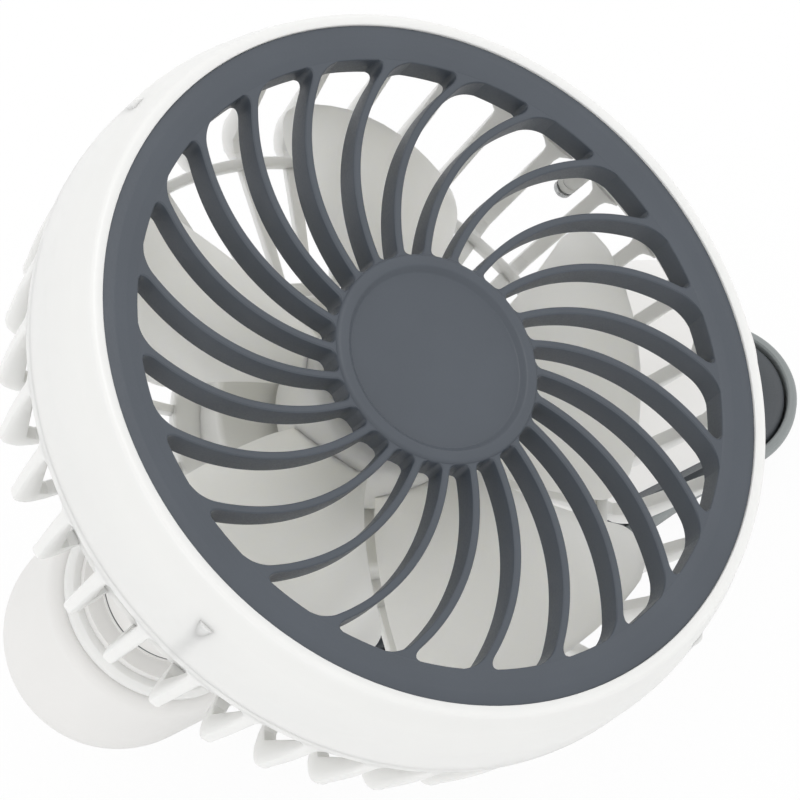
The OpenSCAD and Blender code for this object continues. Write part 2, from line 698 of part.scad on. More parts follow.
// ---------- clip ----------
// Outline of the clip plate, grown by g all round
function meet_angle(g) = atan2(plate_mid_r + g, mid_x - plate_end_x)
    - acos((plate_end_r + g) / norm([mid_x - plate_end_x, plate_mid_r + g]));
module outline(x0, g = 0) {
    a = meet_angle(g);
    polygon(concat(
        [[x0, -plate_mid_r - g], [mid_x, -plate_mid_r - g]],
        [for (i = [-16:16])
            [plate_end_x + (plate_end_r + g) * cos(i * a / 16), (plate_end_r + g) * sin(i * a / 16)]],
        [[mid_x, plate_mid_r + g], [x0, plate_mid_r + g]]));
}
module pin_place() { translate([jaw_pin_x, 0, jaw_pin_z]) children(); }
module clip_plate() {
    color("#54595e") difference() {
        union() {
            translate([0, 0, plate_low]) linear_extrude(plate_t - 0.7) outline(plate_start);
            translate([0, 0, plate_top - 0.8]) linear_extrude(0.8) outline(plate_start, -0.7);
            pin_place() for (y = [-9, 6]) {
                rotate([-90, 0, 0]) translate([0, 0, y]) cylinder(r = jaw_ear_r, h = 3);
                translate([-jaw_ear_r, y, 0]) cube([2 * jaw_ear_r, 3, plate_low - jaw_pin_z + 1]);
            }
        }
        pin_place() rotate([-90, 0, 0]) {
            rod(jaw_pin_r + run_fit, -30, 30);
            rod(jaw_ear_r + 0.4, -5.6, 5.6);
        }
        translate([jaw_pin_x - 20, -5.6, plate_low - 5]) cube([20, 11.2, jaw_pin_z + coil_r + wire_d / 2 - plate_low + 5]);
        translate([plate_end_x, 0, plate_top - 0.8]) cylinder(r = plate_end_r - 3.6, h = 2);
        for (x = clip_screw_x) translate([x, 0, 0]) {
            rod(1.2, 0, 20);
            rod(2.2, 0, plate_low + 1.5);
        }
    }
}
module clip_screws() {
    color("#9a9c9e") for (x = clip_screw_x) translate([x, 0, plate_low + 1.5])
        rotate([180, 0, 0]) screw(2, plate_t + 2.5);
}
module pad_form(z0, z1) {
    translate([0, 0, z0]) linear_extrude(z1 - z0) difference() {
        intersection() {
            outline(plate_start, -3);
            translate([pad_x0, -30]) square([200, 60]);
        }
        children();
    }
}
module upper_pad() {
    color("#2b2d2f") pad_form(plate_low - pad_t, plate_low) for (x = clip_screw_x) translate([x, 0]) circle(r = 2.6);
}
module foot_places() {
    children();
    for (i = [0, 1], side = [-1, 1]) translate([foot_x[i], side * foot_y[i], 0]) children();
}
module clip_jaw() {
    color("#8b9191") difference() {
        union() {
            translate([0, 0, foot_out]) linear_extrude(jaw_floor) outline(jaw_x0, rim_gap + rim_w);
            translate([0, 0, foot_out]) linear_extrude(plate_top - foot_out) difference() {
                outline(jaw_x0, rim_gap + rim_w);
                outline(jaw_x0 - 5, rim_gap);
            }
        }
        pin_place() rotate([-90, 0, 0]) rod(jaw_pin_r + 0.01, -30, 30);
        foot_places() rod(3.51, -1, foot_out + 0.8);
    }
}
module jaw_pad() {
    color("#2b2d2f") pad_form(floor_top, floor_top + pad_t);
}
module foot_pads() {
    color("#2b2d2f") foot_places() rod(3.5, 0, foot_out + 0.8);
}
module jaw_pin() {
    color("#b9bcc0") pin_place() rotate([-90, 0, 0])
        rod(jaw_pin_r, -plate_mid_r - rim_gap - rim_w, plate_mid_r + rim_gap + rim_w);
}

// Round wire wound about the hinge pin, its two ends reaching back past the pin
coil_path = concat(
    [[-coil_reach, coil_r, -coil_y]],
    [for (i = [0:16 * coil_turns + 8])
        [coil_r * sin(i * 22.5), coil_r * cos(i * 22.5), -coil_y + 2 * coil_y * i / (16 * coil_turns + 8)]],
    [[-coil_reach, wire_d / 2 + floor_top - jaw_pin_z, coil_y]]);
function along(i) = let (n = len(coil_path) - 1, d = coil_path[min(i + 1, n)] - coil_path[max(i - 1, 0)]) d / norm(d);
module wire(sides = 8) {
    n = len(coil_path);
    rings = [for (i = [0:n - 1]) let (d = along(i), u = [d[1], -d[0], 0] / norm([d[0], d[1]]), v = cross(d, u))
        for (k = [0:sides - 1]) coil_path[i] + wire_d / 2 * (u * cos(k * 360 / sides) + v * sin(k * 360 / sides))];
    polyhedron(rings, concat(
        [[for (k = [0:sides - 1]) k]],
        [for (i = [0:n - 2], k = [0:sides - 1])
            [i * sides + k, (i + 1) * sides + k, (i + 1) * sides + (k + 1) % sides, i * sides + (k + 1) % sides]],
        [[for (k = [sides - 1:-1:0]) (n - 1) * sides + k]]));
}
module jaw_spring() {
    color("#b9bcc0") pin_place() rotate([90, 0, 0]) wire();
}

// ---------- output ----------
front_grille();
bezel();
rear_cage();
motor_housing();
motor_can();
motor_magnets();
motor_bushing();
motor_board();
housing_screws();
cage_screws();
impeller();
rotor_shaft();
armature();
shaft_nut();
neck_stem();
neck_seam_ring();
swivel_collar();
neck_clip_ring();
tilt_pin();
tilt_nut();
tilt_washers();
knuckle_shell();
knuckle_plate();
roll_clip_ring();
knuckle_screws();
upper_shell();
lower_shell();
bearing_plate();
battery_cells();
cell_strips();
cell_cradle();
main_board();
usb_port();
charge_lights();
button_switch();
power_button();
case_screws();
clip_plate();
upper_pad();
clip_screws();
clip_jaw();
jaw_pad();
foot_pads();
jaw_pin();
jaw_spring();
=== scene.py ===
import bpy, bmesh, json
import numpy as np
from mathutils import Matrix, Vector


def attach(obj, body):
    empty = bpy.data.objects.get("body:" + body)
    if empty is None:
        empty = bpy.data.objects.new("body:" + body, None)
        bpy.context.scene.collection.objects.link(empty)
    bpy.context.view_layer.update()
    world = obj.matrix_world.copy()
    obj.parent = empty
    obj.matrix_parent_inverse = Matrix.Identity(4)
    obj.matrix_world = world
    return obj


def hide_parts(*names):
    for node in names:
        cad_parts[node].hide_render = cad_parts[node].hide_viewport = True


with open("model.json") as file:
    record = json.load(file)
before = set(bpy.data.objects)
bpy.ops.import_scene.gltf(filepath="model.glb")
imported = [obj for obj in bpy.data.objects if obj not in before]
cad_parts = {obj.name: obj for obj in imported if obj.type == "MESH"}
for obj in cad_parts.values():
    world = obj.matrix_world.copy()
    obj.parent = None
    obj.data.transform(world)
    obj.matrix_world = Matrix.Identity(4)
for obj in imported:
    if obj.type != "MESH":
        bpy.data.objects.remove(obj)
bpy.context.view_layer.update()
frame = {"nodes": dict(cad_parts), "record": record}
print("frame loaded,", len(frame["nodes"]), "nodes")

# Lengths in this file are in millimetres and angles in degrees. Meshes are made in metres.
# The head stands on a neck that leans over the base, and the neck stands on a knuckle that turns
# round the base's axis.
stance = {"knuckleAt": (-85.0, 0.0, 38.5), "roll": 17.05, "lean": 21.25, "swivel": 24.0,
          "headOffset": 12.9, "headFront": 117.8}


def turned(axis, degrees):
    # the rotation matrix for a turn about one axis
    return np.array(Matrix.Rotation(np.radians(degrees), 3, axis))


knuckleAt = np.array(stance["knuckleAt"])
knuckleTurn = turned("X", stance["roll"])
leanTurn = knuckleTurn @ turned("Y", stance["lean"])
neckTurn = leanTurn @ turned("Z", stance["swivel"])
headAt = knuckleAt + neckTurn @ np.array([stance["headOffset"], 0, stance["headFront"]])
# each place is a turn and a point: world point = turn x local point + point
places = {
    "world": (np.eye(3), np.zeros(3)),
    "knuckle": (knuckleTurn, knuckleAt),
    "barrel": (leanTurn, knuckleAt),
    "neck": (neckTurn, knuckleAt),
    "head": (neckTurn, headAt)}
metres = 0.001


# shapes as grids of points
def roundProfile(corners, closed=True, steps=7):
    # each corner (x, y, radius) becomes an arc that touches both sides of the corner
    c, out = np.array(corners, float), []
    for i, (x, y, r) in enumerate(c):
        p = np.array([x, y])
        if r == 0 or (not closed and i in (0, len(c) - 1)):
            out.append(p[None])
            continue
        a, b = c[i - 1, :2] - p, c[(i + 1) % len(c), :2] - p
        la, lb = np.linalg.norm(a), np.linalg.norm(b)
        half = np.arccos(np.clip(a @ b / (la * lb), -0.99999, 0.99999)) / 2
        cut = min(r / np.tan(half), 0.49 * la, 0.49 * lb)
        middle = a / la + b / lb
        centre = p + middle / np.linalg.norm(middle) * cut / np.cos(half)
        start, end = p + a / la * cut - centre, p + b / lb * cut - centre
        a0, a1 = np.arctan2(start[1], start[0]), np.arctan2(end[1], end[0])
        t = a0 + ((a1 - a0 + np.pi) % (2 * np.pi) - np.pi) * np.linspace(0, 1, steps)
        out.append(centre + np.linalg.norm(start) * np.stack([np.cos(t), np.sin(t)], 1))
    return np.vstack(out)


def revolved(profile, turns=144, closed=True):
    # point (turn, k) = (r cos turn, r sin turn, z) of the profile's point k
    t = np.linspace(0, 2 * np.pi, turns, endpoint=False)[:, None]
    r, z = profile[None, :, 0], profile[None, :, 1]
    points = np.stack([r * np.cos(t), r * np.sin(t), z + 0 * t], -1)
    return {"points": points, "wrapRows": True, "wrapCols": closed, "caps": False}


def tubed(points):
    # rows of cross-sections along a path, closed around and capped at both ends
    return {"points": points, "wrapRows": False, "wrapCols": True, "caps": True}


def spread(shape, count, first=0.0):
    # copies of one shape turned evenly round the Z axis
    out = []
    for k in range(count):
        turn = turned("Z", first + k * 360 / count)
        out.append({**shape, "points": shape["points"] @ turn.T})
    return out


def gridFaces(shape, base):
    # four-sided faces between neighbours in the grid, and one face on each end where it has caps
    rows, cols = shape["points"].shape[:2]
    i = np.arange(rows if shape["wrapRows"] else rows - 1)[:, None]
    j = np.arange(cols if shape["wrapCols"] else cols - 1)[None]
    near, far, side = i * cols, (i + 1) % rows * cols, (j + 1) % cols
    faces = (np.stack([near + j, near + side, far + side, far + j], -1).reshape(-1, 4) + base).tolist()
    if shape["caps"]:
        last = base + (rows - 1) * cols
        faces += [list(range(base, base + cols)), list(range(last, last + cols))]
    return faces


def meshOf(name, shapes, place="world", sharpAt=32):
    # one mesh of several grids, with doubled points merged and all faces turned outward
    turn, at = places[place]
    verts, faces, base = [], [], 0
    for shape in shapes:
        faces += gridFaces(shape, base)
        flat = shape["points"].reshape(-1, 3)
        verts.append(flat)
        base += len(flat)
    verts = (np.vstack(verts) @ turn.T + at) * metres
    mesh = bpy.data.meshes.new(name)
    mesh.from_pydata(verts.tolist(), [], faces)
    bm = bmesh.new()
    bm.from_mesh(mesh)
    bmesh.ops.remove_doubles(bm, verts=bm.verts, dist=2e-6)
    bmesh.ops.recalc_face_normals(bm, faces=bm.faces)
    bm.to_mesh(mesh)
    bm.free()
    mesh.polygons.foreach_set("use_smooth", np.ones(len(mesh.polygons), bool))
    mesh.set_sharp_from_angle(angle=np.radians(sharpAt))
    return mesh


def makePiece(name, shapes, finish, body, stands=(), place="world", sharpAt=32, wall=0):
    # a piece that rides a body and stands for the named nodes; a wall is added inside an open surface
    mesh = meshOf(name, shapes, place, sharpAt)
    piece = bpy.data.objects.new(name, mesh)
    bpy.context.scene.collection.objects.link(piece)
    if wall:
        thick = piece.modifiers.new("wall", "SOLIDIFY")
        thick.thickness, thick.offset, thick.use_even_offset = wall * metres, -1, True
    mesh.materials.append(finish)
    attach(piece, body)
    if stands:
        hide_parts(*stands)
    return piece


def pierce(piece, shapes, sharpAt=50):
    # cuts the shapes out of the piece and bakes its wall and the cuts into its mesh
    cutter = bpy.data.objects.new("cutter", meshOf("cutter", shapes))
    bpy.context.scene.collection.objects.link(cutter)
    cut = piece.modifiers.new("openings", "BOOLEAN")
    cut.operation, cut.solver, cut.object = "DIFFERENCE", "EXACT", cutter
    baked = bpy.data.meshes.new_from_object(piece.evaluated_get(bpy.context.evaluated_depsgraph_get()))
    baked.set_sharp_from_angle(angle=np.radians(sharpAt))
    piece.modifiers.clear()
    piece.data = baked
    bpy.data.objects.remove(cutter)


# finishes
def shade(r, g, b):
    # an sRGB colour, 0 to 255, as linear light
    c = np.array([r, g, b]) / 255
    return tuple(np.where(c <= 0.04045, c / 12.92, ((c + 0.055) / 1.055) ** 2.4)) + (1.0,)


def finishOf(name, colour, rough, vary=0.05, patch=60, grain=2600, bump=0.06, metallic=0.0, coat=0.0,
             stretch=(1, 1, 1), roughVary=0.08, specular=0.5):
    # colour drifts over slow noise, and roughness and relief follow a fine grain
    m = bpy.data.materials.new(name)
    m.use_nodes = True
    tree = m.node_tree
    shader = tree.nodes["Principled BSDF"]
    shader.inputs["Metallic"].default_value = metallic
    shader.inputs["Coat Weight"].default_value = coat
    shader.inputs["Coat Roughness"].default_value = 0.15
    shader.inputs["Specular IOR Level"].default_value = specular
    where = tree.nodes.new("ShaderNodeTexCoord")
    size = tree.nodes.new("ShaderNodeMapping")
    size.inputs["Scale"].default_value = stretch
    tree.links.new(where.outputs["Object"], size.inputs["Vector"])
    slow = tree.nodes.new("ShaderNodeTexNoise")
    slow.inputs["Scale"].default_value = patch
    slow.inputs["Detail"].default_value = 4
    fine = tree.nodes.new("ShaderNodeTexNoise")
    fine.inputs["Scale"].default_value = grain
    fine.inputs["Detail"].default_value = 3
    for noise in (slow, fine):
        tree.links.new(size.outputs["Vector"], noise.inputs["Vector"])
    ramp = tree.nodes.new("ShaderNodeValToRGB")
    ramp.color_ramp.elements[0].position, ramp.color_ramp.elements[1].position = 0.3, 0.7
    low, high = [tuple(min(1, v * k) for v in colour[:3]) + (1,) for k in (1 - vary, 1 + vary)]
    ramp.color_ramp.elements[0].color, ramp.color_ramp.elements[1].color = low, high
    tree.links.new(slow.outputs["Fac"], ramp.inputs["Fac"])
    tree.links.new(ramp.outputs["Color"], shader.inputs["Base Color"])
    span = tree.nodes.new("ShaderNodeMapRange")
    span.inputs["From Min"].default_value, span.inputs["From Max"].default_value = 0.3, 0.7
    span.inputs["To Min"].default_value = max(0.02, rough - roughVary)
    span.inputs["To Max"].default_value = min(1, rough + roughVary)
    tree.links.new(fine.outputs["Fac"], span.inputs["Value"])
    tree.links.new(span.outputs["Result"], shader.inputs["Roughness"])
    relief = tree.nodes.new("ShaderNodeBump")
    relief.inputs["Strength"].default_value = bump
    relief.inputs["Distance"].default_value = 0.0002
    tree.links.new(fine.outputs["Fac"], relief.inputs["Height"])
    tree.links.new(relief.outputs["Normal"], shader.inputs["Normal"])
    return m


glossWhite = finishOf("gloss white plastic", shade(231, 231, 229), 0.32, vary=0.008, grain=700, bump=0.01,
                      coat=0.2, roughVary=0.04)
shellWhite = finishOf("shell white plastic", shade(230, 229, 227), 0.40, vary=0.008, grain=700, bump=0.015,
                      roughVary=0.05)
bladeWhite = finishOf("blade plastic", shade(244, 243, 234), 0.36, vary=0.012, grain=700, bump=0.015,
                      roughVary=0.05)
slateSatin = finishOf("slate satin plastic", shade(71, 77, 85), 0.44, vary=0.05, bump=0.1)
darkMatt = finishOf("dark matt plastic", shade(74, 78, 82), 0.55, vary=0.06, bump=0.18)
rimGrey = finishOf("rim grey plastic", shade(140, 145, 145), 0.42, vary=0.04, bump=0.1)
clearPipe = finishOf("light pipe", shade(222, 238, 244), 0.12, vary=0.02, coat=0.5)
clearPipe.node_tree.nodes["Principled BSDF"].inputs["Transmission Weight"].default_value = 0.6

# light scatters inside the thin white plastics: its share, its depth in metres, and how far the blue goes
scatter = [(bladeWhite, 0.75, 0.006, 0.82), (glossWhite, 0.4, 0.004, 0.98)]
for plastic, weight, depth, blue in scatter:
    thinPlastic = plastic.node_tree.nodes["Principled BSDF"]
    thinPlastic.inputs["Subsurface Weight"].default_value = weight
    thinPlastic.inputs["Subsurface Radius"].default_value = (1.0, 0.98, blue)
    thinPlastic.inputs["Subsurface Scale"].default_value = depth

# the finish of each material slot
finishes = {
    "slate_plastic": slateSatin,
    "white_shell": shellWhite,
    "dark_plastic": darkMatt,
    "rim_plastic": rimGrey,
    "blade_plastic": bladeWhite,
    "light_pipe": clearPipe,
    "rubber": finishOf("black rubber", shade(34, 35, 37), 0.78, vary=0.1, bump=0.35, grain=1800,
                       specular=0.3),
    "steel": finishOf("bright steel", shade(196, 198, 200), 0.28, vary=0.05, metallic=1.0, stretch=(1, 1, 8)),
    "magnet": finishOf("magnet", shade(58, 58, 62), 0.5, vary=0.1, metallic=0.6),
    "brass": finishOf("brass", shade(198, 160, 90), 0.32, vary=0.06, metallic=1.0),
    "copper": finishOf("copper wire", shade(184, 108, 62), 0.38, vary=0.12, metallic=1.0, grain=900,
                       bump=0.5),
    "board": finishOf("circuit board", shade(38, 104, 66), 0.4, vary=0.12, patch=400),
    "cell_wrap": finishOf("cell sleeve", shade(52, 104, 166), 0.3, vary=0.05, coat=0.3)}
slotOf = {s["node"]: s["material_slot"] for s in frame["record"]["subparts"]}
for nodeName, node in frame["nodes"].items():
    node.data.materials.clear()
    node.data.materials.append(finishes[slotOf[nodeName]])
print("finishes made")

# front grille
grille = {"ringOuter": 62.7, "openingOuter": 56.2, "crownOuter": 60.6, "crownInner": 58.4,
          "ringEdgeDrop": 0.3, "discRadius": 19.5, "discWall": 2.0, "discLip": 2.8, "discDish": 0.8,
          "discBack": 2.6, "ribCount": 24, "ribWidth": 1.5, "ribDepth": 5.6, "ribDrop": 0.3, "firstRib": 9.8,
          "sweep": 18.6, "curl": 8.3, "outerFillet": 2.6, "innerFillet": 1.1}


def flare(gap, radius):
    # how much wider a quarter-circle fillet makes a rib at this gap from the wall it meets
    k = np.clip(1 - gap / radius, 0, 1)
    return radius * (1 - np.sqrt(1 - k * k))


def spiralRib(g, rows=64):
    # the centre line turns by sweep t + curl t squared on its way out, each cross-section lies on a circle
    # round the head's axis, and its width flares into a fillet at the ring and at the disc;
    # t runs from just inside the disc to just inside the ring, so the ends are sunk
    span = g["openingOuter"] - g["discRadius"]
    t = -0.012 + 1.02 * (1 - np.cos(np.linspace(0, np.pi, rows))) / 2
    r = g["discRadius"] + t * span
    a = np.radians(g["firstRib"] - g["sweep"] * t - g["curl"] * t * t)
    slope = np.radians(g["sweep"] + 2 * g["curl"] * t) * r / span
    half = (g["ribWidth"] / 2 * np.sqrt(1 + slope * slope) + flare(g["openingOuter"] - r, g["outerFillet"])
            + flare(r - g["discRadius"], g["innerFillet"]))
    back, front = 0.05 - g["ribDepth"], -g["ribDrop"]
    # each corner of the cross-section: its side, how far it is moved in, and its depth
    edge = np.array([(-1, 0, back), (-1, 0, front - 0.5), (-1, 0.1, front - 0.2), (-1, 0.4, front),
                     (1, -0.4, front), (1, -0.1, front - 0.2), (1, 0, front - 0.5), (1, 0, back)])
    angle = a[:, None] + (edge[None, :, 0] * half[:, None] + edge[None, :, 1]) / r[:, None]
    depth = np.broadcast_to(edge[None, :, 2], angle.shape)
    return tubed(np.stack([r[:, None] * np.cos(angle), r[:, None] * np.sin(angle), depth], -1))


g = grille
ringProfile = roundProfile([
    (g["openingOuter"], -g["ribDepth"], 0.2), (g["ringOuter"], -g["ribDepth"], 0.2),
    (g["ringOuter"], -g["ringEdgeDrop"], 0.15), (g["crownOuter"], 0.02, 3), (g["crownInner"], 0.02, 3),
    (g["openingOuter"], 0.02 - g["ringEdgeDrop"], 0.35)])
lipIn, wallIn = g["discRadius"] - g["discLip"], g["discRadius"] - g["discWall"]
discProfile = roundProfile([
    (0, -g["discBack"], 0), (wallIn, -g["discBack"], 0.3), (wallIn, -g["ribDepth"], 0.2),
    (g["discRadius"], -g["ribDepth"], 0.2), (g["discRadius"], 0.15, 0.9), (lipIn + 0.5, 0.2, 0.7),
    (lipIn - 0.5, -g["discDish"], 0.5), (0, -g["discDish"], 0)], closed=False)
ribs = spread(spiralRib(g), g["ribCount"])
makePiece("spiral_grille", [revolved(ringProfile, 180), revolved(discProfile, 120, closed=False)] + ribs,
          slateSatin, "head", ["front_grille"], "head")

# bezel
bezel = {"lipRadius": 64.8, "lipRise": 0.2, "chinRadius": 66.5, "chinDrop": 4.8, "bellyRadius": 68.0,
         "bellyDrop": 11.0, "backRadius": 68.1, "depth": 18.5, "seat": 62.75, "seatDrop": 5.6, "ledge": 59.2,
         "ledgeDrop": 7.0, "wall": 0.9, "postCount": 4, "firstPost": 88.3, "postAt": 62.4, "postRadius": 1.9,
         "postGap": 0.4}
b = bezel
bezelProfile = roundProfile([
    (b["seat"], -b["seatDrop"], 0), (b["seat"], b["lipRise"], 0.25), (b["lipRadius"], b["lipRise"], 1.0),
    (b["chinRadius"], -b["chinDrop"], 9), (b["bellyRadius"], -b["bellyDrop"], 12),
    (b["backRadius"], -b["depth"], 0.03), (b["backRadius"] - b["wall"], -b["depth"], 0.2),
    (b["bellyRadius"] - b["wall"], -b["bellyDrop"] - 0.5, 6),
    (b["chinRadius"] - b["wall"], -b["ledgeDrop"], 0.3), (b["ledge"], -b["ledgeDrop"], 0.4),
    (b["ledge"], -b["seatDrop"], 0.2)], steps=10)


def post(radius, x, z0, z1, count=24, stretch=0.0):
    # an upright round post at distance x from the axis, its far half moved out by the stretch
    t = np.linspace(0, 2 * np.pi, count, endpoint=False)
    ring = np.stack([x + radius * np.cos(t) + stretch * (np.cos(t) > 1e-6), radius * np.sin(t), 0 * t], 1)
    return tubed(np.stack([ring + [0, 0, z] for z in (z0, z1)]))


toWall = b["backRadius"] - b["postAt"] - b["postRadius"] - b["postGap"]
screwPost = post(b["postRadius"], b["postAt"], -b["depth"], 0.2 - b["ledgeDrop"], stretch=toWall)
makePiece("bezel_ring", [revolved(bezelProfile, 200)] + spread(screwPost, b["postCount"], b["firstPost"]),
          glossWhite, "head", ["bezel"], "head")

# rear cage
cage = {"barCount": 36, "firstBar": 3.3, "barHalf": 1.35, "rootHalf": 0.8, "thinFrom": 54.0, "thinOver": 24.0,
        "startOuter": 67.9, "startInner": 66.8, "startDrop": 20.2, "shoulderRadius": 64.15,
        "shoulderBend": 5.0, "innerBend": 0.3, "sideBulge": 0.35, "backDrop": 46.0, "legStart": 55.4,
        "legEnd": 30.3, "legFront": -41.3, "legBack": -43.4, "legStep": 0.9, "heelOuter": (57.0, -45.0),
        "heelInner": (57.2, -42.2), "ringFillet": 2.2, "filletFrom": 60.0,
        "ringOuter": 68.1, "ringInner": 67.2, "ringFront": -18.5, "ringBack": -20.6, "postStretch": 3.4,
        "hoopOuter": 55.5, "hoopInner": 53.5, "hoopFront": -40.4, "hoopBack": -42.5,
        "plateInner": 25.0, "plateOuter": 31.0, "plateFront": -41.0, "back": -43.5,
        "cupRadius": 26.0, "cupWall": 1.8, "cupFront": -34.0, "cupHole": 13.6, "cupFloor": 2.0}


def blend(start, end, share):
    # points on the straight line from start to end
    return np.array(start) * (1 - share) + np.array(end) * share


def cageBar(c):
    # outer and inner edge lines run down the side, round the shoulder and in to the hub plate;
    # each cross-section is a rounded rectangle between the two, wider where it meets the ring
    bend, innerBend = c["shoulderBend"], c["innerBend"]
    x, z = c["shoulderRadius"] - bend, bend - c["backDrop"]
    turn, back = np.radians(np.linspace(0, -90, 12)), np.radians(np.linspace(0, -75, 12))
    side = (np.linspace(0, 1, 12)[:-1, None]) ** 1.6
    leg = np.linspace(0, 1, 6)[:, None]
    bulge = c["sideBulge"] * np.sin(np.pi * side) * [1, 0]
    outer = np.vstack([
        blend([c["startOuter"], -c["startDrop"]], [x + bend, z], side) + bulge,
        np.stack([x + bend * np.cos(turn), z + bend * np.sin(turn)], 1), [c["heelOuter"]],
        blend([c["legStart"], c["legBack"]], [c["legEnd"], c["legBack"]], leg)])
    inner = np.vstack([
        blend([c["startInner"], 0.2 - c["startDrop"]], [x + innerBend, z], side),
        np.stack([x + innerBend * np.cos(back), z + innerBend * np.sin(back)], 1), [c["heelInner"]],
        blend([c["legStart"] - c["legStep"], c["legFront"]], [c["legEnd"], c["legFront"]], leg)])
    # each corner of the cross-section: its share of the way in, and of the half width
    section = np.array([
        (0.32, -1), (0.15, -0.9), (0.04, -0.7), (0, -0.4), (0, 0.4), (0.04, 0.7), (0.15, 0.9), (0.32, 1),
        (0.86, 1), (0.97, 0.85), (1, 0.5), (1, -0.5), (0.97, -0.85), (0.86, -1)])
    line = outer[:, None] + (inner - outer)[:, None] * section[None, :, :1]
    taper = np.clip((outer[:, 0] - c["thinFrom"]) / c["thinOver"] + 1, 0, 1)
    half = c["rootHalf"] + (c["barHalf"] - c["rootHalf"]) * taper
    half = half + flare(0.1 + c["ringBack"] - outer[:, 1], c["ringFillet"]) * (outer[:, 0] > c["filletFrom"])
    return tubed(np.stack([line[..., 0], section[None, :, 1] * half[:, None], line[..., 1]], -1))


c = cage
ringProfile = roundProfile([
    (c["ringInner"], c["ringFront"], 0.2), (c["ringOuter"], c["ringFront"], 0.03),
    (c["ringOuter"] - 0.1, c["ringBack"], 0.5), (c["ringInner"], c["ringBack"] + 0.8, 0.3)])
hoopProfile = roundProfile([
    (c["hoopInner"], c["hoopFront"], 0.5), (c["hoopOuter"], c["hoopFront"], 0.5),
    (c["hoopOuter"], c["hoopBack"], 0.5), (c["hoopInner"], c["hoopBack"], 0.5)])
plateProfile = roundProfile([
    (c["plateInner"], c["plateFront"], 0), (c["plateOuter"], c["plateFront"], 0.6),
    (c["plateOuter"], c["back"], 0.6), (c["plateInner"], c["back"], 0)])
cupInner, cupFloor = c["cupRadius"] - c["cupWall"], c["cupFront"] - c["cupFloor"]
cupProfile = roundProfile([
    (cupInner, c["back"], 0.2), (c["cupRadius"], c["back"], 0.2), (c["cupRadius"], c["cupFront"], 1.2),
    (c["cupHole"], c["cupFront"], 0.3), (c["cupHole"], cupFloor, 0.2), (cupInner, cupFloor, 0.6)])
rings = [revolved(ringProfile, 180), revolved(hoopProfile, 144), revolved(plateProfile, 120),
         revolved(cupProfile, 120)]
shortPost = post(b["postRadius"], b["postAt"], c["ringBack"] + 0.2, c["ringFront"] - 0.2,
                 stretch=c["postStretch"])
bars = spread(cageBar(c), c["barCount"], c["firstBar"])
makePiece("bar_cage", rings + bars + spread(shortPost, b["postCount"], b["firstPost"]),
          glossWhite, "head", ["rear_cage"], "head")
print("head made")

# blades
fan = {"bladeCount": 5, "firstBlade": 35.8, "rootRadius": 15.0, "tipRadius": 54.0, "halfAngle": 27.5,
       "rootSweep": -6.5, "tipSweep": 1.5, "sweepFrom": 20.0, "sweepOver": 26.0, "pitch": 24.0,
       "thickness": 1.8, "tipThinning": 0.45, "camber": 1.6, "middle": -22.0, "tipRound": 0.2,
       "tipShrink": 0.3, "hubRadius": 16.0, "hubFront": -12.5, "hubBack": -31.5, "hubWall": 1.8,
       "hubRoof": 2.5, "domeRadius": 10.5, "domeDrop": 0.4, "bossRadius": 4.5, "bossBack": -30.5,
       "boreRadius": 1.6}


def fanBlade(f, rows=30, cols=26):
    # the surface at radius r and angle a stands at r sin a tan pitch, bowed by the camber; the span sweeps
    # forward on its way out, and shrinks on an arc towards the tip, which rounds the corners
    v = np.linspace(0, 1, rows) ** 0.8
    r = f["rootRadius"] + v * (f["tipRadius"] - f["rootRadius"])
    k = np.clip((v - (1 - f["tipRound"])) / f["tipRound"], 0, 1)
    half = np.radians(f["halfAngle"]) * (1 - f["tipShrink"] * (1 - np.sqrt(1 - 0.98 * k * k)))
    swept = np.clip((r - f["sweepFrom"]) / f["sweepOver"], 0, 1)
    sweep = np.radians(f["rootSweep"] + (f["tipSweep"] - f["rootSweep"]) * swept)
    turn = np.linspace(0, 2 * np.pi, cols, endpoint=False)
    u, lift = np.cos(turn), np.sin(turn)
    a = sweep[:, None] + half[:, None] * u
    x, y = r[:, None] * np.cos(a), r[:, None] * np.sin(a)
    thick = f["thickness"] / 2 * (1 - f["tipThinning"] * v[:, None])
    z = y * np.tan(np.radians(f["pitch"])) + f["camber"] * (1 - u * u) + lift * thick
    return tubed(np.stack([x, y, z + f["middle"]], -1))


f = fan
hubInner, hubFloor = f["hubRadius"] - f["hubWall"], f["hubFront"] - f["hubRoof"]
hubProfile = roundProfile([
    (0, f["hubFront"] - f["domeDrop"], 0), (f["domeRadius"], f["hubFront"], 2),
    (f["hubRadius"], f["hubFront"] - 3, 3.2), (f["hubRadius"], f["hubBack"], 0.3),
    (hubInner, f["hubBack"], 0.2), (hubInner, hubFloor - 1.5, 1),
    (f["bossRadius"], hubFloor, 0.5), (f["bossRadius"], f["bossBack"], 0.3),
    (f["boreRadius"], f["bossBack"], 0), (f["boreRadius"], hubFloor, 0), (0, hubFloor, 0)], closed=False)
blades = spread(fanBlade(f), f["bladeCount"], f["firstBlade"])
makePiece("blade_wheel", [revolved(hubProfile, 96, closed=False)] + blades,
          bladeWhite, "rotor", ["impeller"], "head")

# knuckle
knuckle = {"radius": 21.5, "length": 28.0, "top": 18.5, "wall": 2.2, "barrelWall": 2.3, "roof": 3.0,
           "topFillet": 3.0, "bore": 9.05, "low": -1.0, "pressDrop": 0.06}


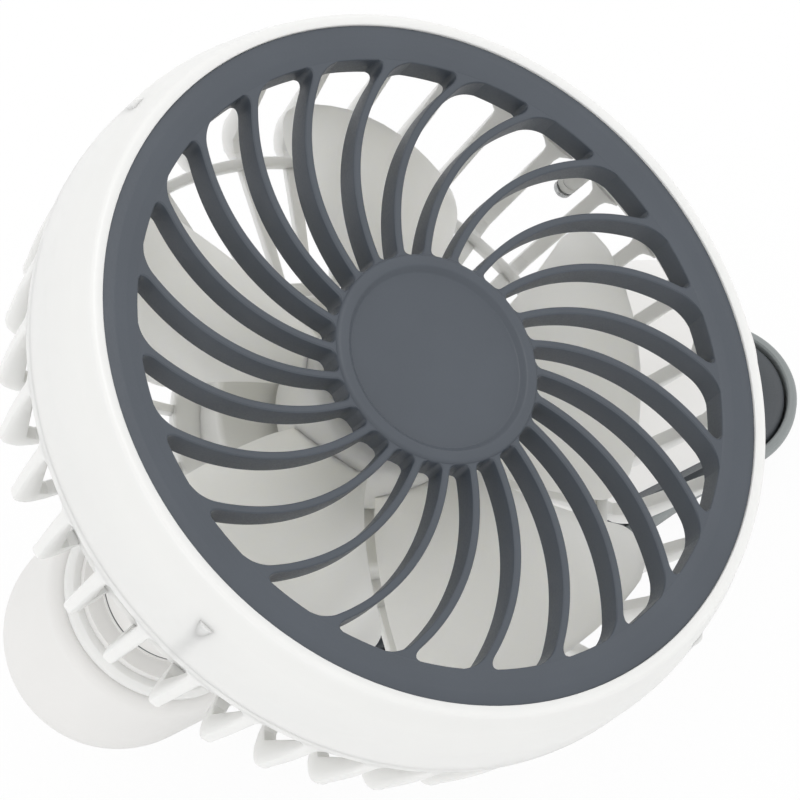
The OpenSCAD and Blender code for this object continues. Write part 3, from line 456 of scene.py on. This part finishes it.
def knuckleArm(k):
    # a round-ended arm turned about its own axis, pressed flat where it would rise above the barrel's top
    outer, inner = k["radius"], k["radius"] - k["wall"]
    t = np.radians(np.linspace(-90, 0, 28))
    profile = np.vstack([
        np.stack([outer * np.cos(t), outer * np.sin(t)], 1), [[outer, 10], [outer, k["length"] - 0.3]],
        [[outer - 0.3, k["length"]], [inner, k["length"]]],
        np.stack([inner * np.cos(t), inner * np.sin(t)], 1)[::-1]])
    shape = revolved(profile, 144, closed=False)
    p = shape["points"][..., [2, 1, 0]] * [1, 1, -1]
    lean = np.radians(stance["lean"])
    up = np.array([np.sin(lean), 0, np.cos(lean)])
    isInner = (np.arange(len(profile)) > len(profile) - len(t) - 1)[None]
    limit = np.where(isInner, k["top"] - k["roof"], k["top"] - k["pressDrop"])
    over = np.clip(p @ up - limit, 0, None)
    return {**shape, "points": p - over[..., None] * up}


k = knuckle
barrelInner, roofLow = k["radius"] - k["barrelWall"], k["top"] - k["roof"]
barrelProfile = roundProfile([
    (barrelInner, k["low"], 0), (k["radius"], k["low"], 0), (k["radius"], k["top"], k["topFillet"]),
    (k["bore"], k["top"], 0.2), (k["bore"], roofLow, 0.2), (barrelInner, roofLow, 0.5)], steps=12)
makePiece("knuckle_arm", [knuckleArm(k)], shellWhite, "knuckle", (), "knuckle", sharpAt=40)
makePiece("knuckle_barrel", [revolved(barrelProfile, 144)], shellWhite, "knuckle",
          ["knuckle_shell"], "barrel")

# swivel collar
collar = {"bore": 9.05, "radius": 19.4, "topRadius": 18.5, "low": 18.8, "step": 20.2, "top": 21.4}
k = collar
collarProfile = roundProfile([
    (k["bore"], k["low"], 0.1), (k["radius"], k["low"], 0.45), (k["radius"], k["step"], 0.6),
    (k["topRadius"], k["top"], 0.5), (k["bore"], k["top"], 0.1)])
makePiece("swivel_ring", [revolved(collarProfile, 144)], glossWhite, "neck",
          ["swivel_collar"], "neck")

# base
base = {"axisZ": 38.5, "startX": -56.7, "endX": 30.0, "radius": 21.5, "splitDrop": 1.2, "wall": 2.2,
        "buttonX": -40.0, "buttonRadius": 4.5, "buttonRise": 0.8, "buttonDepth": 4.0, "flangeRadius": 5.4,
        "stemRadius": 1.5, "lightXs": (-26.0, -22.0, -18.0, -14.0), "lightRadius": 1.0, "holeDepth": 6.0,
        "portX": 40.8, "portEnd": 60.0, "portZ": 51.9, "portHalf": 4.8, "portHeight": 3.9, "portRound": 1.6,
        "footStart": -43.0, "footEnd": 33.0, "footHalf": 13.0, "footLow": 11.65, "footTop": 22.5,
        "footRound": 3.0}


def baseShell(d, lower, cols=96):
    # a cylinder along X with a round end; each ring of it runs only between the two sides of the split
    lie = np.radians(np.linspace(0, 90, 30))
    x = np.concatenate([np.linspace(d["startX"], d["endX"], 14)[:-1], d["endX"] + d["radius"] * np.sin(lie)])
    rho = np.concatenate([np.full(13, d["radius"]), d["radius"] * np.cos(lie)])
    if lower:
        rho = np.maximum(rho, d["splitDrop"] + 1e-4)
        far = d["endX"] + np.sqrt(d["radius"] ** 2 - d["splitDrop"] ** 2)
        x = np.minimum(x, far)
    cut = -np.arcsin(np.clip(d["splitDrop"] / np.maximum(rho, 1e-6), 0, 1))
    lo, hi = (np.pi - cut, 2 * np.pi + cut) if lower else (cut, np.pi - cut)
    a = lo[:, None] + (hi - lo)[:, None] * np.linspace(0, 1, cols)
    y, z = rho[:, None] * np.cos(a), d["axisZ"] + rho[:, None] * np.sin(a)
    points = np.stack([x[:, None] + 0 * a, y, z], -1)
    return {"points": points, "wrapRows": False, "wrapCols": False, "caps": False}


def block(x0, x1, y, z0, z1, radius, steps=8):
    # an upright block with rounded corners
    plan = roundProfile([(x0, -y, radius), (x1, -y, radius), (x1, y, radius), (x0, y, radius)], steps=steps)
    return tubed(np.stack([np.column_stack([plan, np.full(len(plan), z)]) for z in (z0, z1)]))


d = base
baseTop = makePiece("base_top", [baseShell(d, False)], shellWhite, "base", ["upper_shell"],
                    wall=d["wall"], sharpAt=50)
crown = d["axisZ"] + d["radius"]
holeLow, holeTop = crown - d["holeDepth"], crown + 4
mouth = roundProfile([(sideY * d["portHalf"], d["portZ"] + sideZ * d["portHeight"] / 2, d["portRound"])
                      for sideY, sideZ in ((-1, -1), (1, -1), (1, 1), (-1, 1))])
port = tubed(np.stack([np.column_stack([np.full(len(mouth), x), mouth]) for x in (d["portX"], d["portEnd"])]))
pierce(baseTop, [post(d["buttonRadius"] + 0.1, d["buttonX"], holeLow, holeTop, 64), port]
       + [post(d["lightRadius"] + 0.08, x, holeLow, holeTop) for x in d["lightXs"]])
capTop, capLow = crown + d["buttonRise"], crown - d["buttonDepth"]
flangeTop, stemLow = capLow + 0.9, capLow - 1.1
capProfile = roundProfile([
    (0, capTop - 0.45, 0), (2.6, capTop - 0.4, 2), (3.7, capTop, 0.6), (d["buttonRadius"], capTop, 0.45),
    (d["buttonRadius"], flangeTop, 0.1), (d["flangeRadius"], flangeTop, 0.1),
    (d["flangeRadius"], capLow, 0.1), (d["stemRadius"], capLow, 0.1), (d["stemRadius"], stemLow, 0.1),
    (0, stemLow, 0)], closed=False)
cap = revolved(capProfile, 72, closed=False)
cap["points"] = cap["points"] + [d["buttonX"], 0, 0]
makePiece("button_cap", [cap], slateSatin, "button", ["power_button"], sharpAt=45)
makePiece("base_under", [baseShell(d, True)], darkMatt, "base", (),
          wall=d["wall"], sharpAt=50)
foot = block(d["footStart"], d["footEnd"], d["footHalf"], d["footLow"], d["footTop"], d["footRound"])
makePiece("base_foot", [foot], darkMatt, "base", ["lower_shell"])

# clip
clip = {"startX": -53.0, "midX": 5.4, "endX": 47.15, "midHalf": 16.4, "endRadius": 14.15, "plateLow": 7.2,
        "plateTop": 11.6, "edgeRound": 1.1, "dishX": 48.0, "dishLong": 9.0, "dishWide": 7.6,
        "dishDepth": 0.7, "dishSpan": 1.25, "dishPower": 0.7, "jawStart": -52.0, "gap": 0.5, "rim": 2.0,
        "rimStep": 7.1, "jawLow": 0.6, "floorTop": 3.2, "widest": 9.6, "taper": 0.53, "taperFrom": -10.0,
        "taperPower": 1.2, "thinWall": 0.7, "aside": 0.95}
places["clip"] = (np.eye(3), np.array([0, clip["aside"], 0]))


def planLine(d, startX, grow, count=72):
    # the plan: two long sides that run into a round free end, and a straight back edge
    half, end = d["midHalf"] + grow, d["endRadius"] + grow
    reach = np.hypot(d["midX"] - d["endX"], half)
    meet = np.arctan2(half, d["midX"] - d["endX"]) - np.arccos(end / reach)
    t = np.linspace(-meet, meet, count)
    arc = np.stack([d["endX"] + end * np.cos(t), end * np.sin(t)], 1)
    tangent = arc[0]
    lowSide = np.vstack([
        [startX, -half], [(startX + d["midX"]) / 2, -half], [d["midX"] - 4, -half],
        [d["midX"] + 4, -half + 0.25], [(d["midX"] + tangent[0]) / 2, (tangent[1] - half) / 2]])
    highSide = lowSide[::-1] * [1, -1]
    return np.vstack([lowSide, arc, highSide])


def plateSurface(d):
    # the top runs from the middle line out to a rounded edge and down the side to the flat underside,
    # and the dish is as deep as (span - (x / long)^2 - (y / wide)^2) to its power
    low, top = d["plateLow"], d["plateTop"]
    edge = planLine(d, d["startX"], 0)
    spine = np.stack([np.clip(edge[:, 0], d["startX"] + 2, d["endX"]), 0 * edge[:, 1]], 1)
    r, bend = d["edgeRound"], np.radians(np.linspace(0, 90, 6))
    # per column: the share of the way back to the middle, the step in from the edge, and the height
    inward = np.concatenate([np.linspace(1, 0.12, 12), [0] * 8, [1]])
    step = np.concatenate([np.zeros(12), r - r * np.sin(bend), [0, 0, 0]])
    height = np.concatenate([np.full(12, top), top - r + r * np.cos(bend), [low + 0.3, low, low]])
    way = edge - spine
    reach = np.linalg.norm(way, axis=1)[:, None]
    out = way / np.maximum(reach, 1e-6)
    kept = np.where(inward[None] == 0, reach - step[None], (1 - inward)[None] * (reach - r))
    flat = spine[:, None] + out[:, None] * kept[..., None]
    z = np.broadcast_to(height[None], flat.shape[:2]).copy()
    q = ((flat[..., 0] - d["dishX"]) / d["dishLong"]) ** 2 + (flat[..., 1] / d["dishWide"]) ** 2
    hollow = d["dishDepth"] * np.clip(d["dishSpan"] - q, 0, 1) ** d["dishPower"]
    z -= np.where(height[None] > top - 0.01, hollow, 0)
    points = np.concatenate([flat, z[..., None]], -1)
    return {"points": points, "wrapRows": True, "wrapCols": False, "caps": False}


def inwardAt(d, x, z):
    # how far the wall has leaned in at this height: a straight taper under its widest line,
    # which fades away towards the hinge
    share = np.clip((x - d["taperFrom"]) / (d["endX"] - d["taperFrom"]), 0, 1)
    return d["taper"] * share ** d["taperPower"] * np.clip(d["widest"] - z, 0, None)


def wallLine(d, across, z):
    # the plan at one height, at this share of the way through the wall
    inner, outer = planLine(d, d["jawStart"], d["gap"]), planLine(d, d["jawStart"], d["gap"] + d["rim"])
    lean = inwardAt(d, inner[:, 0], z)[:, None]
    thick = np.maximum(d["rim"] - lean, d["thinWall"])
    start = -np.clip(lean - (d["rim"] - d["thinWall"]), 0, None)
    flat = inner + (outer - inner) / d["rim"] * (start + across * thick)
    return np.column_stack([flat, np.full(len(flat), z)])


def rimWall(d):
    # a wall with rounded edges carried along the plan outside the plate's gap
    low, top = d["jawLow"], d["plateTop"]
    # each corner of the wall's section: its share of the way through the wall, and its height
    section = [(0, low), (0, d["rimStep"]), (0, top - 0.8), (0.12, top - 0.25), (0.3, top), (0.7, top),
               (0.88, top - 0.25), (1, top - 0.8), (1, d["widest"]), (1, low + 0.3), (0.85, low)]
    return tubed(np.stack([wallLine(d, across, z) for across, z in section], 1))


def jawFloor(d):
    # a plate that ends inside the walls and starts at their underside
    return tubed(np.stack([wallLine(d, 0.4, z) for z in (d["jawLow"], d["floorTop"])]))


d = clip
makePiece("clip_top_plate", [plateSurface(d)], darkMatt, "base",
          ["clip_plate"], "clip", sharpAt=40)
makePiece("jaw_tray", [rimWall(d), jawFloor(d)], rimGrey, "jaw",
          ["clip_jaw"], "clip", sharpAt=30)
print("base and clip made")

# camera
# the camera stands back from the head's centre by the distance, and is moved left and down by the shifts
camera = {"up": (0.43059, 0.77082, 0.46949), "right": (0.87302, -0.48768, 0.0),
          "toCamera": (-0.22901, -0.40985, 0.88294), "lens": 243.0, "sensor": 36.0, "distance": 925.3,
          "shiftRight": 6.518, "shiftUp": 7.191}
right, up, back = [np.array(camera[n]) / np.linalg.norm(camera[n]) for n in ("right", "up", "toCamera")]
cameraAt = headAt - camera["shiftRight"] * right - camera["shiftUp"] * up + camera["distance"] * back
lensData = bpy.data.cameras.new("camera")
lensData.lens, lensData.sensor_width = camera["lens"], camera["sensor"]
lensData.clip_start, lensData.clip_end = 0.05, 20.0
eye = bpy.data.objects.new("camera", lensData)
placed = np.column_stack([right, up, back, cameraAt * metres])
eye.matrix_world = Matrix(placed.tolist() + [[0, 0, 0, 1]])
bpy.context.scene.collection.objects.link(eye)
bpy.context.scene.camera = eye

# floor and light
# lamp powers are in watts, and the floor's half size is in metres
light = {"world": 1.0, "key": 1.6, "fill": 1.0, "floorGlow": 0.94, "floorHalf": 4.0}
h = light["floorHalf"]
floorMesh = bpy.data.meshes.new("floor")
floorMesh.from_pydata([(-h, -h, 0), (h, -h, 0), (h, h, 0), (-h, h, 0)], [], [(0, 1, 2, 3)])
floor = bpy.data.objects.new("floor", floorMesh)
bpy.context.scene.collection.objects.link(floor)
paper = bpy.data.materials.new("floor paper")
paper.use_nodes = True
tree = paper.node_tree
sheet = tree.nodes["Principled BSDF"]
sheet.inputs["Base Color"].default_value = (0.92, 0.92, 0.92, 1)
sheet.inputs["Roughness"].default_value = 0.9
# seen by the camera the floor is mostly its own even white, which leaves the shadows faint
glow = tree.nodes.new("ShaderNodeEmission")
glow.inputs["Color"].default_value = (1, 1, 1, 1)
glow.inputs["Strength"].default_value = 1.0
ray = tree.nodes.new("ShaderNodeLightPath")
share = tree.nodes.new("ShaderNodeMath")
share.operation = "MULTIPLY"
share.inputs[1].default_value = light["floorGlow"]
mix = tree.nodes.new("ShaderNodeMixShader")
tree.links.new(ray.outputs["Is Camera Ray"], share.inputs[0])
tree.links.new(share.outputs[0], mix.inputs["Fac"])
tree.links.new(sheet.outputs[0], mix.inputs[1])
tree.links.new(glow.outputs[0], mix.inputs[2])
tree.links.new(mix.outputs[0], tree.nodes["Material Output"].inputs["Surface"])
floorMesh.materials.append(paper)

world = bpy.data.worlds.new("studio")
bpy.context.scene.world = world
world.use_nodes = True
tree = world.node_tree
sky = tree.nodes["Background"]
sky.inputs["Color"].default_value = (1, 1, 1, 1)
sky.inputs["Strength"].default_value = light["world"]


def softLamp(name, at, toward, size, power):
    # a round lamp at a point in metres, turned towards another
    data = bpy.data.lights.new(name, "AREA")
    data.shape, data.size, data.energy = "DISK", size, power
    lamp = bpy.data.objects.new(name, data)
    lamp.location = at
    lamp.rotation_mode = "QUATERNION"
    lamp.rotation_quaternion = (Vector(toward) - Vector(at)).to_track_quat("-Z", "Y")
    bpy.context.scene.collection.objects.link(lamp)


lit = (-0.03, -0.03, 0.1)
softLamp("key lamp", (0.35, 0.1, 1.1), lit, 0.6, light["key"])
softLamp("fill lamp", (-0.9, -0.5, 0.6), lit, 0.8, light["fill"])
bpy.context.scene.view_settings.view_transform = "Standard"
print("camera and light made")
